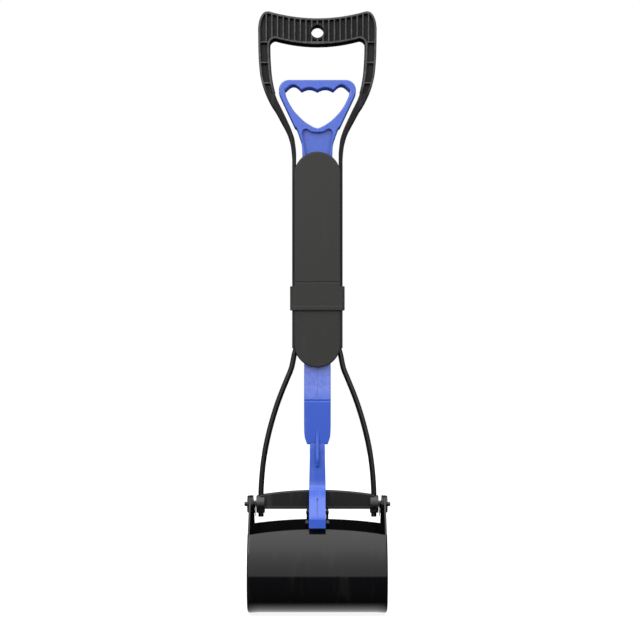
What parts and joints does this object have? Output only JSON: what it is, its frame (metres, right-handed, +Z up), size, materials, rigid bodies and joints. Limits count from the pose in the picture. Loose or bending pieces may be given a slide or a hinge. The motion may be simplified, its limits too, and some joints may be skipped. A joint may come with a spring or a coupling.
{
  "type": "pooper scooper",
  "caption": "Foldable pooper scooper: pulling the blue handle up towards the D-grip lifts a forked rod that opens two sprung jaws; a sliding band locks the fold.",
  "frame": {"origin": "bottom centre: on the object's centre line, where the closed jaws' lips meet the ground", "axes": "+Z up the handle towards the D-grip, -Y out of the front cover, +X to the right of someone who looks at the front"},
  "size_m": [0.1458, 0.1032, 0.595],
  "materials": {
    "black_plastic": "satin black moulding",
    "grey_plastic": "fine matte dark grey moulding",
    "jaw_plastic": "glossy black moulding",
    "blue_plastic": "semi-gloss blue moulding",
    "black_steel": "black coated steel rod",
    "steel": "darkened steel"
  },
  "bodies": {
    "upper": {"upper_frame": "black_plastic", "upper_cover": "grey_plastic", "fold_pin_left": "steel", "fold_pin_right": "steel", "upper_screw_1": "steel", "upper_screw_2": "steel", "upper_screw_3": "steel", "upper_screw_4": "steel"},
    "band": {"lock_band": "grey_plastic"},
    "handle": {"pull_handle": "blue_plastic", "rod_fold_pin": "steel"},
    "lower": {"lower_housing": "black_plastic", "lower_cover": "grey_plastic", "spreader_bar": "black_plastic", "side_rod_left": "black_steel", "side_rod_right": "black_steel", "pivot_washer_left": "steel", "pivot_washer_right": "steel", "pivot_screw_left": "steel", "pivot_screw_right": "steel", "torsion_spring_left": "steel", "torsion_spring_right": "steel", "lower_screw_1": "steel", "lower_screw_2": "steel"},
    "rod": {"pull_rod": "blue_plastic"},
    "front_jaw_body": {"front_jaw": "jaw_plastic", "front_strap_pin": "steel"},
    "rear_jaw_body": {"rear_jaw": "jaw_plastic", "rear_strap_pin": "steel"}
  },
  "joints": [
    {"name": "fold", "type": "hinge", "parent": "upper", "child": "lower", "pos_m": [0, 0.009, 0.3025], "axis": [1, 0, 0], "range_deg": [0, 155]},
    {"name": "band_slide", "type": "slide", "parent": "upper", "child": "band", "axis": [0, 0, 1], "range_m": [0, 0.025]},
    {"name": "pull", "type": "slide", "parent": "upper", "child": "handle", "axis": [0, 0, 1], "range_m": [0, 0.02908]},
    {"name": "rod_slide", "type": "slide", "parent": "lower", "child": "rod", "axis": [0, 0, 1], "range_m": [0, 0.02909]},
    {"name": "front_jaw_hinge", "type": "hinge", "parent": "lower", "child": "front_jaw_body", "pos_m": [0, 0, 0.104], "axis": [1, 0, 0], "range_deg": [-45, 0], "stiffness_Nm_per_rad": 0.25, "springref_deg": 20.05},
    {"name": "rear_jaw_hinge", "type": "hinge", "parent": "lower", "child": "rear_jaw_body", "pos_m": [0, 0, 0.104], "axis": [1, 0, 0], "range_deg": [0, 45], "stiffness_Nm_per_rad": 0.25, "springref_deg": -20.05}
  ],
  "couplings": [
    {"joint": "band_slide", "follows": "fold", "m_per_rad": 0.0092},
    {"joint": "rod_slide", "follows": "pull", "ratio": 1},
    {"joint": "front_jaw_hinge", "follows": "pull", "rad_per_m": -27},
    {"joint": "rear_jaw_hinge", "follows": "pull", "rad_per_m": 27}
  ]
}
